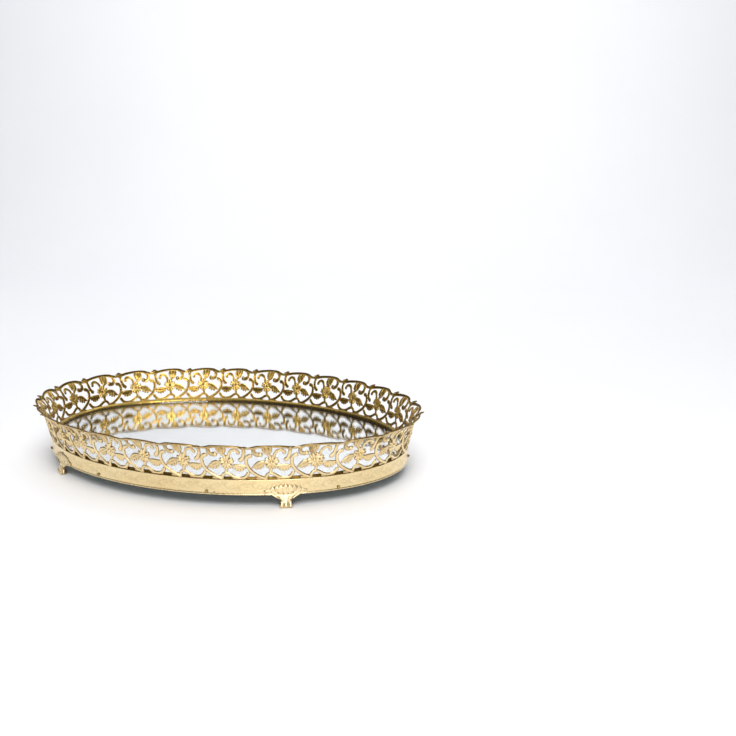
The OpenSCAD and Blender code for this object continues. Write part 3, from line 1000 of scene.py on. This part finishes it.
# ---------------------------------------------------------------- silvering
def build_silvering():
    """The silver layer and its backing paint: a thin oval leaf, a hair's breadth under the glass."""
    around = 288
    turn = np.linspace(0, math.tau, around, endpoint=False)
    top, low = SILVER_HI.z / MM - 0.02, SILVER_LO.z / MM + 0.01
    points = []
    for inset, z in ((0.25, low), (0.0, low + 0.03), (0.0, top - 0.03), (0.06, top)):
        x, y = (SILVER_HI.x / MM - inset) * np.cos(turn), (SILVER_HI.y / MM - inset) * np.sin(turn)
        points.append(np.column_stack([x, y, np.full(around, z)]))
    shape = Shape()
    shape.add(np.vstack(points), tube_faces(len(points), around), 0.5)
    return shape.object("silvering_leaf", SILVERING)


silvering = build_silvering()
silvering.data.shade_flat()
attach(silvering, "root")
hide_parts("mirror_silvering")

# ---------------------------------------------------------------- floor, light, camera
VIEW_TURN = math.radians(22.1)  # how far the view is turned from the tray's own axes
FLOOR_COLOUR = (0.93, 0.94, 0.96)


def viewed(x, y, z):
    """A place given along the view: x to its right, y away from it."""
    c, s = math.cos(VIEW_TURN), math.sin(VIEW_TURN)
    return (x * c - y * s, x * s + y * c, z)


def painted(tree, shader):
    """The floor's pale colour, very slightly uneven."""
    uneven = remap(tree, noise(tree, 3.0, 2.0), 0.3, 0.7)
    colour = mix(tree, uneven, FLOOR_COLOUR, tuple(0.985 * c for c in FLOOR_COLOUR))
    tree.links.new(colour, shader.inputs["Base Color"])


def floor():
    """A pale floor that curves up into a backdrop behind the tray."""
    front, bend, radius, height = -3.0, 1.2, 0.8, 3.0
    left, right = -3.5, 4.0
    profile = [(front, 0.0), (bend / 2, 0.0), (bend, 0.0)]
    for turn in np.linspace(0.1, math.pi / 2, 12):
        profile.append((bend + radius * math.sin(turn), radius - radius * math.cos(turn)))
    profile.append((bend + radius, height))
    corners = [(x, y, z) for y, z in profile for x in (left, right)]
    faces = [(2 * i, 2 * i + 1, 2 * i + 3, 2 * i + 2) for i in range(len(profile) - 1)]
    mesh = bpy.data.meshes.new("floor")
    mesh.from_pydata(corners, [], faces)
    mesh.shade_smooth()
    mesh.materials.append(material("floor", painted, Roughness=0.6))
    ob = bpy.data.objects.new("floor", mesh)
    ob.rotation_euler.z = VIEW_TURN
    bpy.context.scene.collection.objects.link(ob)


def area_light(name, place, aim, size, power, colour=(1, 1, 1)):
    """A rectangular light at a place, turned to an aim."""
    data = bpy.data.lights.new(name, "AREA")
    data.shape, data.size, data.size_y = "RECTANGLE", *size
    data.energy, data.color = power, colour
    ob = bpy.data.objects.new(name, data)
    ob.location = place
    ob.rotation_euler = (Vector(aim) - Vector(place)).to_track_quat("-Z", "Y").to_euler()
    bpy.context.scene.collection.objects.link(ob)


floor()
area_light("key", viewed(0.15, -1.0, 1.2), (0, 0, 0), (0.95, 0.9), 18, (1.0, 0.97, 0.94))
area_light("low", viewed(0.1, -1.5, 0.3), (0, 0, 0.02), (0.8, 0.5), 6, (0.95, 0.97, 1.0))
area_light("top", viewed(0.1, 0.1, 1.7), (0, 0, 0), (1.6, 1.4), 6, (0.92, 0.96, 1.0))
area_light("backdrop", viewed(0.2, 1.0, 1.8), viewed(0.1, 2.0, 0.6), (2.5, 1.0), 20)

world = bpy.data.worlds.new("studio")
world.use_nodes = True
world.node_tree.nodes["Background"].inputs["Color"].default_value = (0.93, 0.95, 1.0, 1)
world.node_tree.nodes["Background"].inputs["Strength"].default_value = 0.24
bpy.context.scene.world = world
bpy.context.scene.view_settings.view_transform = "Standard"

CAMERA_AT = Vector((0.3337, -0.5417, 0.2023))
CAMERA_AIM = Vector((0.0985, 0.0400, 0.0682))

camera_data = bpy.data.cameras.new("camera")
camera_data.sensor_width, camera_data.lens = 36.0, 42.5
camera = bpy.data.objects.new("camera", camera_data)
camera.location = CAMERA_AT
camera.rotation_euler = (CAMERA_AIM - CAMERA_AT).to_track_quat("-Z", "Y").to_euler()
bpy.context.scene.collection.objects.link(camera)
bpy.context.scene.camera = camera
